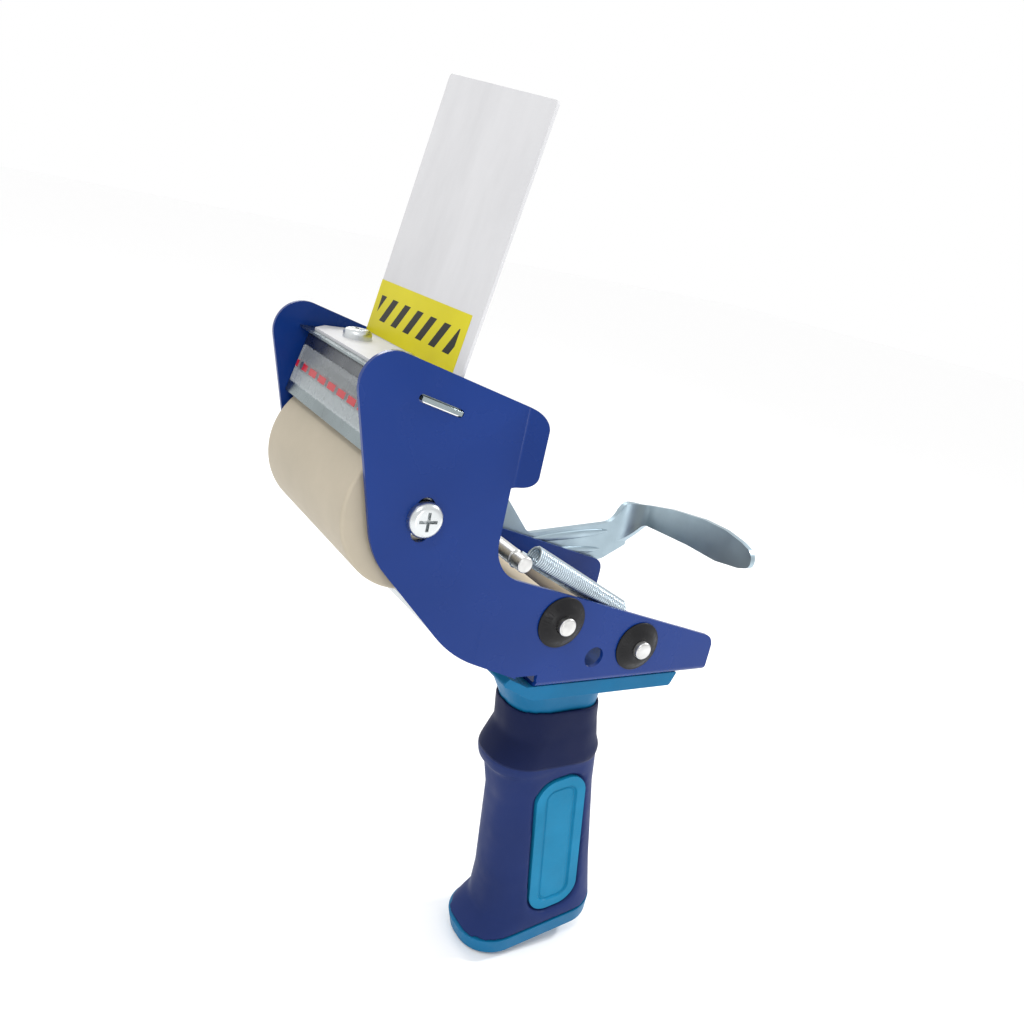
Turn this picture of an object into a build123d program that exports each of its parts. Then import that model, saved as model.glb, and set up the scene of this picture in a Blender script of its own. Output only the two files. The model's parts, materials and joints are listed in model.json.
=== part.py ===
from build123d import *
import os
from math import cos, hypot, radians, sin, tan

os.makedirs("parts", exist_ok=True)

# Frame of the part, in millimetres: origin at the middle of the cross hole in the tail,
# +X to the rear (the tail and the brake lever), +Y to the lever's side, +Z up.

# ---------------------------------------------------------------- driving dimensions
channel = 76.8              # free width between the side plates, for 72-75 mm tape
sheet = 1.6                 # folded steel of the frame
hang_r = 4.2                # cross hole through both side plates
drop = 11.2                 # from the cross hole down to the underside of the base
tail_end = 61.0             # rear edge of the tail
tail_tip_z = 4.6            # height of the tail's rear top corner
head_slope = 15.2           # fall of both top edges towards the rear, degrees
head_nose = (-115.7, 110.5)  # sharp corner where top edge and front edge of the head meet
flare_w = 7.6               # width of the flared guides behind the head
flare_angle = 45.0
flare_x = -52.4             # bend line of the flared guides
fold_r = 3.0                # outer radius of the folds under the tail
roller_d = 52.0             # rubber roller
rubber_wall = 9.0
roller_side_gap = 2.0       # from the roller's end to the side plate
axle_d = 8.0
axle_at = (-83.0, 55.1)
screw_d = 6.0               # machine screws in the ends of the axle
slot_len = 15.0             # upright slots for those screws
shaft_d = 7.0               # cross shafts in the tail
front_shaft = (-19.5, 15.8)
rear_shaft = (19.9, 3.4)
support_d = 11.0            # turning sleeves on the cross shafts
cap_d = 20.0                # push-on shaft caps
cap_rim = 0.7
cap_rise = 2.1
cap_slope = 58             # slope of the cap's cone, degrees
shaft_proud = 5.0           # shaft beyond the side plate
bar_d = 6.0                 # brake bar
bar_at = (-40.5, 38.3)
spring_od = 8.4
wire_d = 0.9
lever_sheet = 2.5
lever_gap = 1.2             # washer between side plate and brake lever
tongue_x = 76.5             # front face of the lever's tongue
tongue_tip = -33.0          # free end of the tongue, across the channel
bracket_sheet = 1.5
bracket_at = (-84.2, 91.3)  # middle of the bracket's web, where its tabs pass the plates
bracket_front = 15.4        # from there forward to the front leg
bracket_leg = 22.6
tab_len = 15.0
tab_proud = 0.8
guard_h = 13.6
guard_t = 0.9
blade_t = 0.6
blade_h = 14.0
tooth = 1.2
flap_t = 1.0
flap_w = 74.0
flap_h = 93.0
flap_lean = 9.7             # lean of the flap to the rear, degrees
flap_skew = 8.4             # how much shorter its near edge is
top_leaf_z = 97.1           # underside of the clamping plate's upper leaf
leaf_t = 0.8
flap_bend_x = -78.1
clamp_x = -89.5             # screws that clamp the flap
clamp_y = 17.6
clamp_d = 5.0
label_h = 19.4
label_w = 68.5
label_t = 0.12
grip_lean = 10.0            # lean of the handle to the rear, degrees
grip_x = 10.5               # where the handle's axis leaves the base
flange_t = 6.0              # handle flange under the base
grip_round = 0.9            # corner radius of the handle's sections, as a share of their half width
sleeve_top = -39.0          # the soft sleeve ends level here
panel_depth = 98.6          # middle of the side panels, down the handle
panel_bed_y = 14.6
panel_long = 71.0
panel_wide = 25.4
running = 0.05              # radial running clearance
gap = 0.3                   # clearance beside parts that move
seat = 0.02                 # radial gap of parts that are fixed to each other

half = channel / 2 + sheet  # outer faces of the side plates
base_z = -drop
slope = tan(radians(head_slope))
screw_spots = [(grip_x - 14, -9), (grip_x - 14, 9), (grip_x + 18, -9), (grip_x + 18, 9)]  # handle screws


# ---------------------------------------------------------------- small helpers
def side_plane(y):
    """Plane across the channel at height y, seen from the near side: local x to the rear, local y up."""
    return Plane(origin=(0, y, 0), x_dir=(1, 0, 0), z_dir=(0, -1, 0))


def tail_top(x):
    """Height of the tail's top edge above a place along it."""
    return tail_tip_z + (tail_end - x) * slope


def head_top(x):
    """Height of the head's top edge."""
    return head_nose[1] - (x - head_nose[0]) * slope


# ---------------------------------------------------------------- frame
flare_r = 2.0               # bend radius of the flares
flare_bottom = 55.0         # the flares start at this height, above the tail
flare_reach = flare_w * cos(radians(flare_angle))
flare_out = flare_w * sin(radians(flare_angle))
notch_x = flare_x - 0.9
outline_points = [
    (tail_end, base_z),
    (tail_end, tail_tip_z),
    (notch_x, tail_top(notch_x)),
    (notch_x, 66.0),
    (flare_x + flare_reach, 68.0),
    (flare_x + flare_reach, head_top(flare_x + flare_reach)),
    head_nose,
    (-98.6, 42.2),
    (-62.8, 5.1),
    (-30.0, -7.6),
    (-25.0, base_z),
]
outline_radii = [2.0, 6.0, 15.0, 0.4, 5.3, 6.5, 10.5, 30.0, 48.0, 3.0, 0.0]
slot_mid = (axle_at[0] - 0.2, axle_at[1] - 0.4)
slope_dir = (cos(radians(head_slope)), -sin(radians(head_slope)))

with BuildPart() as frame:
    # the head's side plates, each ending in a flare
    with BuildSketch(Plane.XY.offset(base_z + fold_r)):
        with BuildLine():
            FilletPolyline(
                (head_nose[0] - 1, -half),
                (flare_x, -half),
                (flare_x + flare_reach, -half - flare_out),
                (flare_x + flare_reach + sheet, -half - flare_out + sheet),
                (flare_x + sheet * tan(radians(flare_angle / 2)), -half + sheet),
                (head_nose[0] - 1, -half + sheet),
                radius=[0, flare_r, 0, 0, flare_r + sheet, 0], close=True,
            )
        make_face()
        mirror(about=Plane.XZ)
    extrude(amount=head_nose[1] - base_z)
    # the tail's side plates run on flat below the flares
    with BuildSketch(Plane.XY.offset(base_z + fold_r)):
        for side in (-1, 1):
            with Locations(((flare_x + tail_end) / 2 - 2, side * (half - sheet / 2))):
                Rectangle(tail_end - flare_x + 6, sheet)
    extrude(amount=flare_bottom - base_z - fold_r)
    with BuildSketch(Plane.YZ.offset(-24.0)):
        with BuildLine():
            FilletPolyline(
                (-half, base_z + 2 * fold_r), (-half, base_z), (half, base_z), (half, base_z + 2 * fold_r),
                (half - sheet, base_z + 2 * fold_r), (half - sheet, base_z + sheet),
                (sheet - half, base_z + sheet), (sheet - half, base_z + 2 * fold_r),
                radius=[0, fold_r, fold_r, 0, 0, fold_r - sheet, fold_r - sheet, 0], close=True,
            )
        make_face()
    extrude(amount=tail_end + 24.0)
    with BuildSketch(side_plane(0)):
        with BuildLine():
            FilletPolyline(*outline_points, radius=outline_radii, close=True)
        make_face()
    extrude(amount=2 * half, both=True, mode=Mode.INTERSECT)
    # the flares start above the tail: below the head the side plates stay flat
    with BuildSketch(Plane.XY.offset(base_z)):
        with Locations((flare_x + 20, -half - 10), (flare_x + 20, half + 10)):
            Rectangle(41, 20)
    extrude(amount=flare_bottom - base_z, mode=Mode.SUBTRACT)
    with BuildSketch(side_plane(half)):
        with Locations((0, 0)):
            Circle(hang_r)
        with Locations(front_shaft, rear_shaft):
            Circle(shaft_d / 2 + running)
        with Locations(slot_mid):
            SlotOverall(slot_len, screw_d + 0.6, rotation=88)
        with Locations(bracket_at):
            SlotOverall(tab_len + 1.6, bracket_sheet + 1.0, rotation=-head_slope)
    extrude(amount=2 * half, mode=Mode.SUBTRACT)
    # relief at the front end of each fold
    with BuildSketch(side_plane(2 * half)):
        with BuildLine():
            Polyline((-34.0, -5.4), (-24.4, -5.4), (-24.4, -8.6), (-27.6, base_z - 1), (-31.0, base_z - 1), close=True)
        make_face()
    extrude(amount=4 * half, mode=Mode.SUBTRACT)
    # screw holes for the handle in the base
    with BuildSketch(Plane.XY.offset(base_z)):
        with Locations(*screw_spots):
            Circle(2.6)
    extrude(amount=sheet, mode=Mode.SUBTRACT)

# the folded sheet is kept as three touching pieces, cut where the base is flat
cut_y = half - fold_r
for name, low_y, high_y in (
    ("side_plate_near", -2 * half, -cut_y), ("channel_base", -cut_y, cut_y), ("side_plate_far", cut_y, 2 * half),
):
    with BuildPart() as third:
        with BuildSketch(side_plane(high_y)):
            with Locations((0, 0)):
                Rectangle(400, 400)
        extrude(amount=high_y - low_y)
        add(frame.part, mode=Mode.INTERSECT)
    third.part.label = name
    export_step(third.part, f"parts/{name}.step")

# ---------------------------------------------------------------- handle
lean = radians(grip_lean)
axis_down = (sin(lean), 0, -cos(lean))
# stations down the handle: depth, reach to the front, reach to the rear, half width
grip_stations = [
    (26.0, 22.6, 23.0, 16.8),
    (40.0, 23.0, 22.8, 16.8),
    (51.0, 30.2, 23.6, 17.6),
    (56.0, 29.6, 25.2, 17.8),
    (58.5, 27.0, 24.2, 16.9),
    (74.0, 25.2, 23.8, 17.0),
    (119.0, 28.2, 26.2, 17.8),
    (134.0, 30.8, 27.4, 18.6),
    (141.2, 40.9, 28.0, 19.2),
]
foot_depth = 148.4


def station_plane(depth, shift=0.0):
    """Plane across the handle at a depth below the base, local x to the rear."""
    return Plane(
        origin=(grip_x + axis_down[0] * depth + shift * cos(lean), 0, base_z + axis_down[2] * depth + shift * sin(lean)),
        x_dir=(cos(lean), 0, sin(lean)),
        z_dir=axis_down,
    )


def panel_plane(side):
    """Plane of a side panel's bed, facing outwards."""
    return Plane(
        origin=(grip_x + axis_down[0] * panel_depth, side * panel_bed_y, base_z + axis_down[2] * panel_depth),
        x_dir=(cos(lean), 0, sin(lean)),
        z_dir=(0, side, 0),
    )


core_stations = [
    (7.0, 29.0, 31.0, 20.0),
    (15.0, 25.6, 28.0, 18.0),
    (26.0, 21.6, 23.4, 15.6),
    (40.0, 20.0, 20.0, 13.6),
    (74.0, 20.5, 20.5, 13.2),
    (119.0, 22.5, 22.5, 13.2),
    (141.2, 26.0, 25.0, 15.0),
]
with BuildPart() as handle_core:
    for station in core_stations:
        with BuildSketch(station_plane(station[0], (station[2] - station[1]) / 2)):
            RectangleRounded(station[1] + station[2], 2 * station[3], grip_round * station[3])
    loft(ruled=True)
    with BuildSketch(station_plane(grip_stations[-1][0], (grip_stations[-1][2] - grip_stations[-1][1]) / 2)):
        RectangleRounded(grip_stations[-1][1] + grip_stations[-1][2], 2 * grip_stations[-1][3], grip_round * grip_stations[-1][3])
    extrude(amount=foot_depth - grip_stations[-1][0], taper=8)
    # flange that carries the frame's base, with a lip up the front
    with BuildSketch(side_plane(half - 1.5)):
        with BuildLine():
            FilletPolyline(
                (-35.0, -7.0), (-26.5, base_z), (47.5, base_z), (45.0, base_z - flange_t),
                (-23.0, base_z - flange_t), (-37.5, -9.6),
                radius=[0, 0, 0.6, 1.5, 12.0, 1.0], close=True,
            )
        make_face()
    extrude(amount=2 * (half - 1.5))
    with BuildSketch(Plane.XY.offset(base_z)):
        with Locations(*screw_spots):
            Circle(2.5)
    extrude(amount=-14.0, mode=Mode.SUBTRACT)
handle_core.part.label = "handle_core"
export_step(handle_core.part, "parts/handle_core.step")

with BuildPart() as grip_sleeve:
    for station in grip_stations:
        with BuildSketch(station_plane(station[0], (station[2] - station[1]) / 2)):
            RectangleRounded(station[1] + station[2], 2 * station[3], grip_round * station[3])
    loft(ruled=True)
    add(handle_core.part, mode=Mode.SUBTRACT)
    # the sleeve's top edge is level, and the side panels lie in shallow beds
    with BuildSketch(Plane.XY.offset(sleeve_top)):
        with Locations((grip_x, 0)):
            Rectangle(120, 80)
    extrude(amount=30.0, mode=Mode.SUBTRACT)
    for side in (-1, 1):
        with BuildSketch(panel_plane(side)):
            RectangleRounded(panel_wide + 2, panel_long + 2, 11)
        extrude(amount=12.0, mode=Mode.SUBTRACT)
grip_sleeve.part.label = "grip_sleeve"
export_step(grip_sleeve.part, "parts/grip_sleeve.step")

for side, name in ((-1, "grip_panel_near"), (1, "grip_panel_far")):
    with BuildPart() as grip_panel:
        with BuildSketch(panel_plane(side)):
            RectangleRounded(panel_wide, panel_long, 10)
        extrude(amount=2.6)
        fillet(grip_panel.faces().sort_by(Axis.Y)[0 if side < 0 else -1].edges(), 0.8)
    grip_panel.part.label = name
    export_step(grip_panel.part, f"parts/{name}.step")

# ---------------------------------------------------------------- screws of the handle
with BuildPart() as handle_screws:
    with BuildSketch(Plane.XY.offset(base_z + sheet)):
        with Locations(*screw_spots):
            Circle(4.7)
    extrude(amount=3.0)
    fillet(handle_screws.edges().filter_by(GeomType.CIRCLE).group_by(Axis.Z)[-1], 1.4)
    with BuildSketch(Plane.XY.offset(base_z + sheet)):
        with Locations(*screw_spots):
            Circle(2.5 - seat)
    extrude(amount=-13.0)
    with BuildSketch(Plane.XY.offset(base_z + sheet + 3.0)):
        with Locations(*screw_spots):
            Rectangle(4.6, 0.9)
            Rectangle(0.9, 4.6)
    extrude(amount=-1.6, mode=Mode.SUBTRACT)
handle_screws.part.label = "handle_screws"
export_step(handle_screws.part, "parts/handle_screws.step")

# ---------------------------------------------------------------- rubber roller
roller_len = channel - 2 * roller_side_gap
with BuildPart() as roller_rubber:
    with BuildSketch(side_plane(roller_len / 2)):
        with Locations(axle_at):
            Circle(roller_d / 2)
    extrude(amount=roller_len)
    chamfer(roller_rubber.edges(), 0.6)
    with BuildSketch(side_plane(roller_len / 2)):
        with Locations(axle_at):
            Circle(roller_d / 2 - rubber_wall)
    extrude(amount=roller_len, mode=Mode.SUBTRACT)
roller_rubber.part.label = "roller_rubber"
export_step(roller_rubber.part, "parts/roller_rubber.step")

bush_r = axle_d / 2 + 2.0
hub_len = 14.0
with BuildPart() as roller_core:
    with BuildSketch(side_plane(roller_len / 2)):
        with Locations(axle_at):
            Circle(roller_d / 2 - rubber_wall - seat)
            Circle(roller_d / 2 - rubber_wall - 3.0, mode=Mode.SUBTRACT)
    extrude(amount=roller_len)
    for start in (roller_len / 2, hub_len - roller_len / 2):
        with BuildSketch(side_plane(start)):
            with Locations(axle_at):
                Circle(roller_d / 2 - rubber_wall - 1.0)
                Circle(bush_r + seat, mode=Mode.SUBTRACT)
        extrude(amount=hub_len)
roller_core.part.label = "roller_core"
export_step(roller_core.part, "parts/roller_core.step")

with BuildPart() as roller_bushes:
    for end in (-1, 1):
        with BuildSketch(side_plane(end * (roller_len / 2 + 0.8))):
            with Locations(axle_at):
                Circle(bush_r + 2.0)
                Circle(axle_d / 2 + running, mode=Mode.SUBTRACT)
        extrude(amount=end * 0.8)
        with BuildSketch(side_plane(end * roller_len / 2)):
            with Locations(axle_at):
                Circle(bush_r)
                Circle(axle_d / 2 + running, mode=Mode.SUBTRACT)
        extrude(amount=end * hub_len)
roller_bushes.part.label = "roller_bushes"
export_step(roller_bushes.part, "parts/roller_bushes.step")

with BuildPart() as roller_axle:
    with BuildSketch(side_plane(channel / 2)):
        with Locations(axle_at):
            Circle(axle_d / 2)
    extrude(amount=channel)
    for end in (-1, 1):
        with BuildSketch(side_plane(end * channel / 2)):
            with Locations(axle_at):
                Circle(screw_d / 2)
        extrude(amount=end * 12.0, mode=Mode.SUBTRACT)
roller_axle.part.label = "roller_axle"
export_step(roller_axle.part, "parts/roller_axle.step")

with BuildPart() as axle_washers:
    for end in (-1, 1):
        with BuildSketch(side_plane(end * channel / 2)):
            with Locations(axle_at):
                Circle(axle_d / 2 + 2.5)
                Circle(axle_d / 2 + seat, mode=Mode.SUBTRACT)
        extrude(amount=end * 0.8)
axle_washers.part.label = "axle_washers"
export_step(axle_washers.part, "parts/axle_washers.step")

with BuildPart() as axle_screws:
    for end in (-1, 1):
        with BuildSketch(side_plane(end * half)):
            with Locations(axle_at):
                Circle(screw_d)
        extrude(amount=-end * 3.2)
    fillet(axle_screws.edges().filter_by(GeomType.CIRCLE).group_by(Axis.Y)[0], 2.2)
    fillet(axle_screws.edges().filter_by(GeomType.CIRCLE).group_by(Axis.Y)[-1], 2.2)
    for end in (-1, 1):
        with BuildSketch(side_plane(end * half)):
            with Locations(axle_at):
                Circle(screw_d / 2 - seat)
        extrude(amount=end * 12.5)
        with BuildSketch(side_plane(end * (half + 3.2))):
            with Locations(axle_at):
                Rectangle(6.4, 1.1)
                Rectangle(1.1, 6.4)
        extrude(amount=end * 2.0, mode=Mode.SUBTRACT)
axle_screws.part.label = "axle_screws"
export_step(axle_screws.part, "parts/axle_screws.step")

# ---------------------------------------------------------------- cross shafts and their caps
lever_in = half + lever_gap
lever_out = lever_in + lever_sheet
with BuildPart() as pivot_shaft:
    with BuildSketch(side_plane(lever_out + gap + shaft_proud)):
        with Locations(front_shaft):
            Circle(shaft_d / 2)
    extrude(amount=lever_out + gap + 2 * shaft_proud + half)
    chamfer(pivot_shaft.edges().filter_by(GeomType.CIRCLE), 0.5)
pivot_shaft.part.label = "pivot_shaft"
export_step(pivot_shaft.part, "parts/pivot_shaft.step")

with BuildPart() as rear_cross_shaft:
    with BuildSketch(side_plane(half)):
        with Locations(rear_shaft):
            Circle(shaft_d / 2)
    extrude(amount=2 * half + shaft_proud)
    chamfer(rear_cross_shaft.edges().filter_by(GeomType.CIRCLE).group_by(Axis.Y)[0], 0.5)
    with BuildSketch(side_plane(half + 0.8)):
        with Locations(rear_shaft):
            Circle(shaft_d / 2 + 1.5)
    extrude(amount=0.8)
rear_cross_shaft.part.label = "rear_cross_shaft"
export_step(rear_cross_shaft.part, "parts/rear_cross_shaft.step")

with BuildPart() as shaft_caps:
    with BuildSketch(side_plane(-half)):
        with Locations(front_shaft, rear_shaft):
            Circle(cap_d / 2)
    extrude(amount=cap_rim)
    with BuildSketch(side_plane(-half - cap_rim)):
        with Locations(front_shaft, rear_shaft):
            Circle(cap_d / 2 - 0.6)
    extrude(amount=cap_rise, taper=cap_slope)
    with BuildSketch(side_plane(-half)):
        with Locations(front_shaft, rear_shaft):
            Circle(shaft_d / 2 + seat)
    extrude(amount=10.0, mode=Mode.SUBTRACT)
shaft_caps.part.label = "shaft_caps"
export_step(shaft_caps.part, "parts/shaft_caps.step")

with BuildPart() as pivot_cap:
    with BuildSketch(side_plane(lever_out + gap)):
        with Locations(front_shaft):
            Circle(cap_d / 2)
    extrude(amount=-cap_rim)
    with BuildSketch(side_plane(lever_out + gap + cap_rim)):
        with Locations(front_shaft):
            Circle(cap_d / 2 - 0.6)
    extrude(amount=-cap_rise, taper=cap_slope)
    with BuildSketch(side_plane(lever_out)):
        with Locations(front_shaft):
            Circle(shaft_d / 2 + seat)
    extrude(amount=-10.0, mode=Mode.SUBTRACT)
pivot_cap.part.label = "pivot_cap"
export_step(pivot_cap.part, "parts/pivot_cap.step")

with BuildPart() as lever_washer:
    with BuildSketch(side_plane(half)):
        with Locations(front_shaft):
            Circle(shaft_d)
            Circle(shaft_d / 2 + seat, mode=Mode.SUBTRACT)
    extrude(amount=-(lever_gap - gap))
lever_washer.part.label = "lever_washer"
export_step(lever_washer.part, "parts/lever_washer.step")

sleeve_end = channel / 2 - 1.0
spring_y = 6.0 - half
with BuildPart() as front_sleeve:
    with BuildSketch(side_plane(sleeve_end)):
        with Locations(front_shaft):
            Circle(support_d / 2)
            Circle(shaft_d / 2 + running, mode=Mode.SUBTRACT)
    extrude(amount=2 * sleeve_end)
front_sleeve.part.label = "front_sleeve"
export_step(front_sleeve.part, "parts/front_sleeve.step")

with BuildPart() as rear_sleeve:
    with BuildSketch(side_plane(sleeve_end)):
        with Locations(rear_shaft):
            Circle(support_d / 2)
            Circle(shaft_d / 2 + running, mode=Mode.SUBTRACT)
    extrude(amount=sleeve_end - (spring_y + 2.0))
rear_sleeve.part.label = "rear_sleeve"
export_step(rear_sleeve.part, "parts/rear_sleeve.step")

# ---------------------------------------------------------------- brake bar, its lever and spring
groove_r = bar_d / 2 - 0.5
with BuildPart() as brake_bar:
    with BuildSketch(side_plane(lever_out + 1.0)):
        with Locations(bar_at):
            Circle(bar_d / 2)
    extrude(amount=lever_out + 1.0 + half)
    chamfer(brake_bar.edges().filter_by(GeomType.CIRCLE).group_by(Axis.Y)[0], 0.5)
    with BuildSketch(side_plane(spring_y + wire_d)):
        with Locations(bar_at):
            Circle(bar_d)
            Circle(groove_r, mode=Mode.SUBTRACT)
    extrude(amount=2 * wire_d, mode=Mode.SUBTRACT)
    with BuildSketch(side_plane(lever_out + 1.0)):
        with Locations(bar_at):
            Circle(bar_d / 2 + 1.5)
    extrude(amount=1.0)
brake_bar.part.label = "brake_bar"
export_step(brake_bar.part, "parts/brake_bar.step")

arm_out = tongue_x + lever_sheet
bend_r = 12.0
side_points = [
    (-27.5, 8.3), (-46.3, 32.8), (-47.6, 45.6), (-8.5, 45.6), (16.6, 17.6),
    (65.7, 23.5), (69.5, 45.0), (arm_out + 1, 45.0), (arm_out + 1, 15.0),
    (74.6, 12.0), (61.7, 4.3), (-20.0, 4.6),
]
side_radii = [10.0, 7.0, 8.0, 9.0, 5.0, 9.0, 1.0, 1.0, 1.0, 8.0, 8.0, 9.0]
tongue_points = [
    (lever_out + 1, -12.0), (lever_out + 1, 52.0), (lever_in - 0.1, 52.0), (lever_in - 0.1, 33.0),
    (19.1, 38.4), (-2.0, 41.7), (-15.8, 42.2), (-26.4, 40.8), (tongue_tip - 1, 38.6),
    (tongue_tip - 1, 32.2), (-28.4, 29.9), (-14.7, 27.4), (3.3, 27.2), (22.0, 25.9), (34.0, 25.0),
    (lever_in - 0.1, 14.0), (lever_in - 0.1, -12.0),
]
tongue_radii = [0, 0, 0, 2.0, 8.0, 20.0, 20.0, 8.0, 5.0, 3.0, 9.0, 15.0, 20.0, 20.0, 5.0, 2.0, 0]
with BuildPart() as brake_lever:
    with BuildSketch(Plane.XY.offset(0)):
        with BuildLine():
            FilletPolyline(
                (-50.0, lever_in), (tongue_x, lever_in), (tongue_x, tongue_tip - 2),
                (arm_out, tongue_tip - 2), (arm_out, lever_out), (-50.0, lever_out),
                radius=[0, bend_r - lever_sheet, 0, 0, bend_r, 0], close=True,
            )
        make_face()
    extrude(amount=50.0)
    with BuildSketch(side_plane(0)):
        with BuildLine():
            FilletPolyline(*side_points, radius=side_radii, close=True)
        make_face()
    extrude(amount=2 * half, both=True, mode=Mode.INTERSECT)
    with BuildSketch(Plane.YZ):
        with BuildLine():
            FilletPolyline(*tongue_points, radius=tongue_radii, close=True)
        make_face()
    extrude(amount=3 * half, both=True, mode=Mode.INTERSECT)
    # the neck ends at the tongue's height
    with BuildSketch(side_plane(lever_out + 1)):
        with BuildLine():
            FilletPolyline(
                (60.0, 60.0), (60.0, 28.5), (66.2, 28.5), (69.5, 33.4), (arm_out + 2, 33.6), (arm_out + 2, 60.0),
                radius=[0, 0, 1.0, 5.0, 0, 0], close=True,
            )
        make_face()
    extrude(amount=lever_out + 1 - 39.0, mode=Mode.SUBTRACT)
    with BuildSketch(side_plane(lever_out)):
        with Locations(front_shaft):
            Circle(shaft_d / 2 + running)
        with Locations(bar_at):
            Circle(bar_d / 2 + seat)
    extrude(amount=lever_sheet, mode=Mode.SUBTRACT)
brake_lever.part.label = "brake_lever"
export_step(brake_lever.part, "parts/brake_lever.step")

# the spring runs above the line from the bar to the rear shaft and hooks over both
coil_front = (-34.2, 39.6)
coil_rear = (11.8, 16.3)
coil_len = hypot(coil_rear[0] - coil_front[0], coil_rear[1] - coil_front[1])
along = ((coil_rear[0] - coil_front[0]) / coil_len, (coil_rear[1] - coil_front[1]) / coil_len)
above = (-along[1], along[0])
coil_plane = Plane(origin=(coil_front[0], spring_y, coil_front[1]), x_dir=(0, 1, 0), z_dir=(along[0], 0, along[1]))
with BuildPart() as tension_spring:
    with BuildSketch(coil_plane):
        Circle(spring_od / 2)
    extrude(amount=coil_len)
    with BuildSketch(coil_plane.offset(wire_d)):
        Circle(spring_od / 2 - wire_d)
    extrude(amount=coil_len - 2 * wire_d, mode=Mode.SUBTRACT)
    for centre, reach, toward, mouth in (
        (bar_at, groove_r + wire_d / 2 + seat, 1.0, coil_front),
        (rear_shaft, shaft_d / 2 + wire_d + seat, -1.0, coil_rear),
    ):
        top = (centre[0] + above[0] * reach, centre[1] + above[1] * reach)
        run = toward * ((mouth[0] - top[0]) * along[0] + (mouth[1] - top[1]) * along[1]) + wire_d / 2
        with BuildSketch(
            Plane(
                origin=(top[0], spring_y, top[1]),
                x_dir=(0, 1, 0),
                z_dir=(toward * along[0], 0, toward * along[1]),
            )
        ) as wire_section:
            Circle(wire_d / 2)
        extrude(amount=run)
        hook_axis = Axis((centre[0], spring_y, centre[1]), (0, toward, 0))
        revolve(wire_section.sketch, axis=hook_axis, revolution_arc=-215)
tension_spring.part.label = "tension_spring"
export_step(tension_spring.part, "parts/tension_spring.step")

# ---------------------------------------------------------------- blade and its bracket
web_half = bracket_sheet / 2
web_plane = Plane(
    origin=(bracket_at[0], 0, bracket_at[1]),
    x_dir=(slope_dir[0], 0, slope_dir[1]),
    z_dir=(0, -1, 0),
)
leg_x = -bracket_front
web_up = (slope_dir[1] * -1, slope_dir[0])
leg_top = (
    bracket_at[0] + leg_x * slope_dir[0] + web_half * web_up[0],
    bracket_at[1] + leg_x * slope_dir[1] + web_half * web_up[1],
)
leg_plane = Plane(origin=(leg_top[0], 0, leg_top[1]), x_dir=(0, -1, 0), z_dir=(-slope_dir[0], 0, -slope_dir[1]))
rivet_y = 29.0
rivet_r = 1.3
rivet_drop = -11.5
with BuildPart() as blade_bracket:
    with BuildSketch(web_plane.offset(-(channel / 2 - gap))):
        with BuildLine():
            FilletPolyline(
                (leg_x, web_half), (tab_len / 2 + 1.5, web_half), (tab_len / 2 + 1.5, -web_half),
                (leg_x + bracket_sheet, -web_half), (leg_x + bracket_sheet, web_half - bracket_leg),
                (leg_x, web_half - bracket_leg),
                radius=[1.6, 0, 0, 0.4, 0, 0], close=True,
            )
        make_face()
    extrude(amount=channel - 2 * gap)
    with BuildSketch(web_plane.offset(-(half + tab_proud))):
        Rectangle(tab_len, bracket_sheet)
    extrude(amount=2 * (half + tab_proud))
    with BuildSketch(Plane.XY.offset(80.0)):
        with Locations((clamp_x, -clamp_y), (clamp_x, clamp_y)):
            Circle(clamp_d / 2 + 0.2)
    extrude(amount=30.0, mode=Mode.SUBTRACT)
    with BuildSketch(leg_plane):
        with Locations((-rivet_y, rivet_drop), (rivet_y, rivet_drop)):
            Circle(rivet_r + seat)
    extrude(amount=-5.0, mode=Mode.SUBTRACT)
blade_bracket.part.label = "blade_bracket"
export_step(blade_bracket.part, "parts/blade_bracket.step")

blade_half = channel / 2 - 2.0
tooth_count = int(2 * blade_half / tooth)
tooth_top = 0.3             # the blade's points stand just above its bracket
tooth_depth = 1.6
teeth = []
for number in range(tooth_count):
    left = -blade_half + number * 2 * blade_half / tooth_count
    teeth.append((left, tooth_top - tooth_depth))
    teeth.append((left + blade_half / tooth_count, tooth_top))
teeth.append((blade_half, tooth_top - tooth_depth))
with BuildPart() as blade:
    with BuildSketch(leg_plane):
        with BuildLine():
            Polyline(*teeth, (blade_half, tooth_top - blade_h), (-blade_half, tooth_top - blade_h), close=True)
        make_face()
        with Locations((-rivet_y, rivet_drop), (rivet_y, rivet_drop)):
            Circle(rivet_r + seat, mode=Mode.SUBTRACT)
    extrude(amount=blade_t)
blade.part.label = "blade"
export_step(blade.part, "parts/blade.step")

guard_half = channel / 2 - 4.0
guard_top = tooth_top - 4.9
with BuildPart() as blade_guard:
    with BuildSketch(leg_plane.offset(blade_t)):
        with Locations((0, guard_top - guard_h / 2)):
            RectangleRounded(2 * guard_half, guard_h, 1.0)
        with Locations((-rivet_y, rivet_drop), (rivet_y, rivet_drop)):
            Circle(rivet_r + seat, mode=Mode.SUBTRACT)
    extrude(amount=guard_t)
blade_guard.part.label = "blade_guard"
export_step(blade_guard.part, "parts/blade_guard.step")

with BuildPart() as guard_rivets:
    with BuildSketch(leg_plane.offset(blade_t + guard_t)):
        with Locations((-rivet_y, rivet_drop), (rivet_y, rivet_drop)):
            Circle(rivet_r)
    extrude(amount=-(blade_t + guard_t + bracket_sheet))
    with BuildSketch(leg_plane.offset(-bracket_sheet)):
        with Locations((-rivet_y, rivet_drop), (rivet_y, rivet_drop)):
            Circle(2.2)
    extrude(amount=-0.6)
guard_rivets.part.label = "guard_rivets"
export_step(guard_rivets.part, "parts/guard_rivets.step")


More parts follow.
